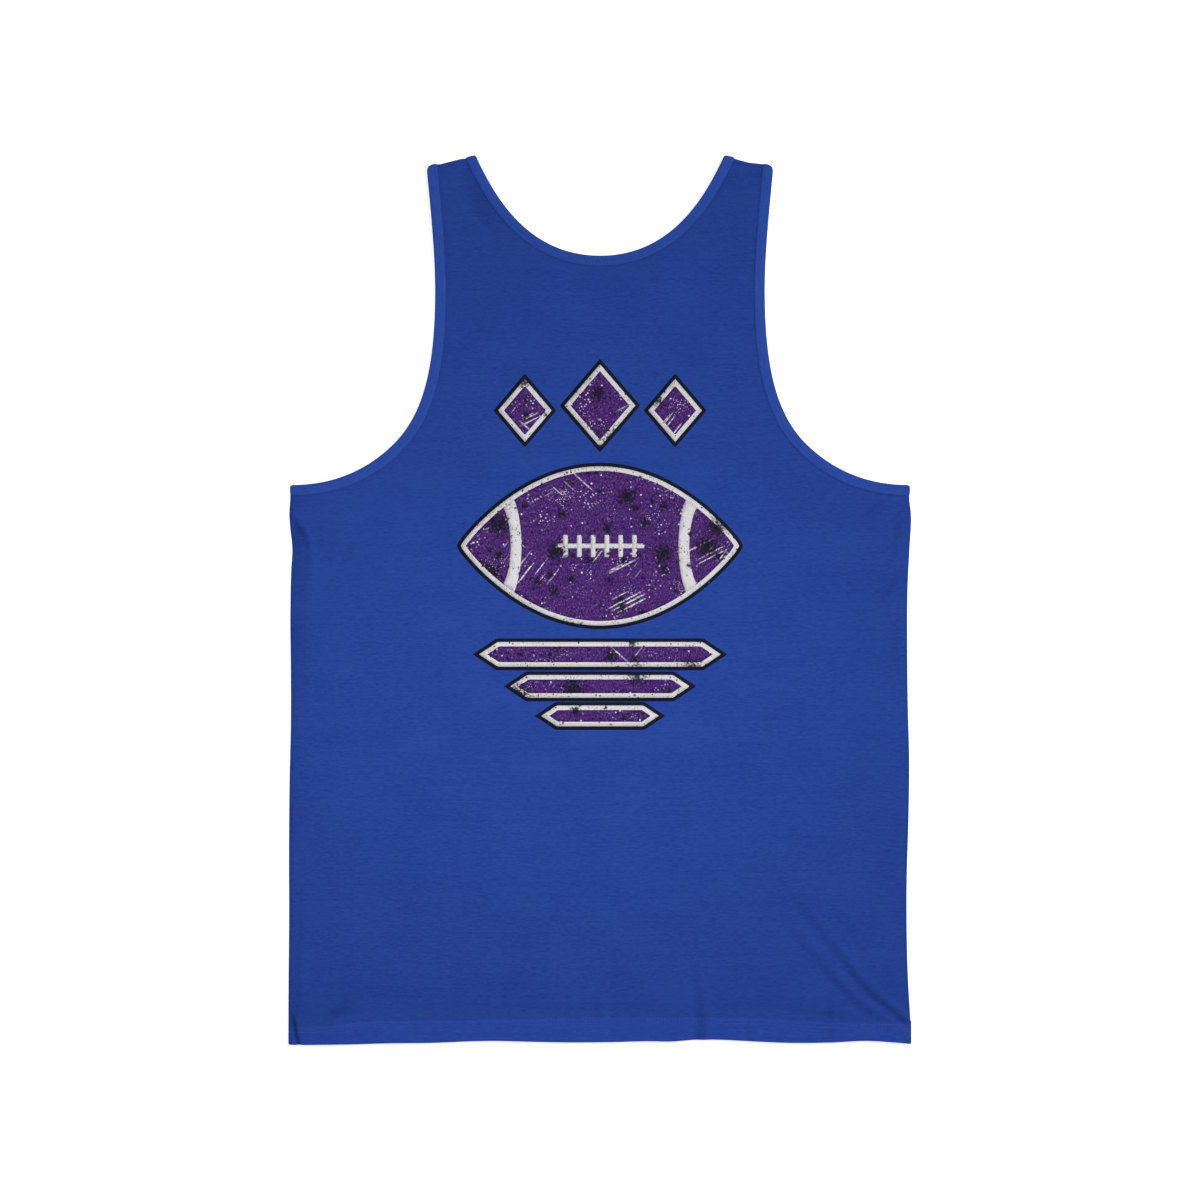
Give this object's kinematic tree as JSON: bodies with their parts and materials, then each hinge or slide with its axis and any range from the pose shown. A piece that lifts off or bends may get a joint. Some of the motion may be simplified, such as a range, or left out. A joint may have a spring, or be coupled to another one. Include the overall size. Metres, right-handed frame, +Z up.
{
  "type": "football tank top",
  "caption": "Sleeveless jersey tank top with scooped neck, deep armholes, folded bindings and a turned-up hem, laid flat on its front.",
  "frame": {"origin": "on the surface it lies on, under the middle of its bounding box", "axes": "+Y from hem to neck, +Z up from the surface and out of the back, +X to the wearer's right"},
  "size_m": [0.5055, 0.7217, 0.006],
  "materials": {
    "royal_jersey": "royal-blue single jersey, matte with a faint sheen, fine streaks across the knit",
    "jersey_binding": "the same jersey folded in two and stitched flat, a little lighter",
    "purple_print": "worn screen print in purple ink on the jersey",
    "off_white_print": "worn screen print in off-white ink on the jersey",
    "navy_print": "screen-printed keyline in near-black navy ink on the jersey",
    "sewing_thread": "spun polyester thread in the cloth's colour"
  },
  "bodies": {
    "root": {"back_panel": "royal_jersey", "front_panel": "royal_jersey", "neck_binding": "jersey_binding", "armhole_binding_left": "jersey_binding", "armhole_binding_right": "jersey_binding"}
  },
  "joints": []
}
